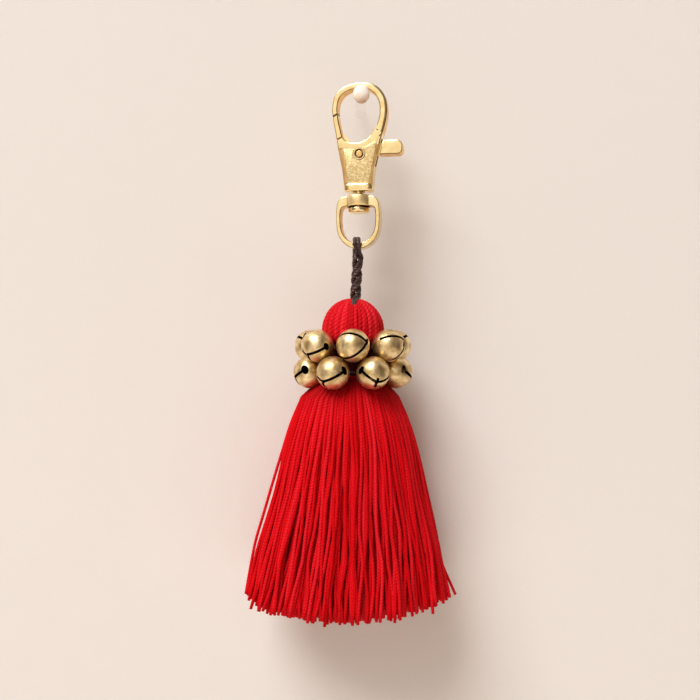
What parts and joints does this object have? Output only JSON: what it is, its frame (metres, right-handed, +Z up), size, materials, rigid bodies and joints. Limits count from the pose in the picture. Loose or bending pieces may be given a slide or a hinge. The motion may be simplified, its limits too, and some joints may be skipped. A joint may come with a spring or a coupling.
{
  "type": "tassel zipper pull on a wall pin",
  "caption": "Yarn tassel zipper pull with rows of slotted bells, a doubled waxed cord and a swivel trigger clasp, shown hanging on a plain wall pin.",
  "frame": {"origin": "centre of the wall pin's flat wall end", "axes": "+Z up along the hanging length, +Y into the wall along the pin, -Y towards the viewer"},
  "size_m": [0.0498, 0.0331, 0.1307],
  "materials": {
    "clear_resin": "clear, slightly milky, polished",
    "gold": "pale gold plate, polished edges and finely brushed faces",
    "gold_rivet": "warm gold plate, turned",
    "waxed_cord": "dark brown twisted cord with a soft wax sheen",
    "yarn": "bright red twisted cotton yarn",
    "bell_brass": "satin antique brass"
  },
  "bodies": {
    "clasp": {"wall_pin": "clear_resin", "clasp_body": "gold", "gate_rivet": "gold_rivet", "swivel_stud": "gold_rivet"},
    "gate": {"gate_lever": "gold"},
    "pendant": {"swivel_eye": "gold", "cord_tether": "waxed_cord", "yarn_tassel": "yarn", "upper_bell_thread": "waxed_cord", "lower_bell_thread": "waxed_cord", "upper_bell_01": "bell_brass", "upper_bell_02": "bell_brass", "upper_bell_03": "bell_brass", "upper_bell_04": "bell_brass", "upper_bell_05": "bell_brass", "upper_bell_06": "bell_brass", "upper_bell_07": "bell_brass", "lower_bell_01": "bell_brass", "lower_bell_02": "bell_brass", "lower_bell_03": "bell_brass", "lower_bell_04": "bell_brass", "lower_bell_05": "bell_brass", "lower_bell_06": "bell_brass", "lower_bell_07": "bell_brass"}
  },
  "joints": [
    {"name": "gate_pivot", "type": "hinge", "parent": "clasp", "child": "gate", "pos_m": [-0.00016, -0.01608, -0.0146], "axis": [0.1908, 0.9816, 0], "range_deg": [0, 22], "stiffness_Nm_per_rad": 0.02, "springref_deg": -20.05},
    {"name": "swivel_turn", "type": "hinge", "parent": "clasp", "child": "pendant", "pos_m": [-0.00055, -0.016, -0.026], "axis": [0, 0, 1], "continuous": true}
  ]
}
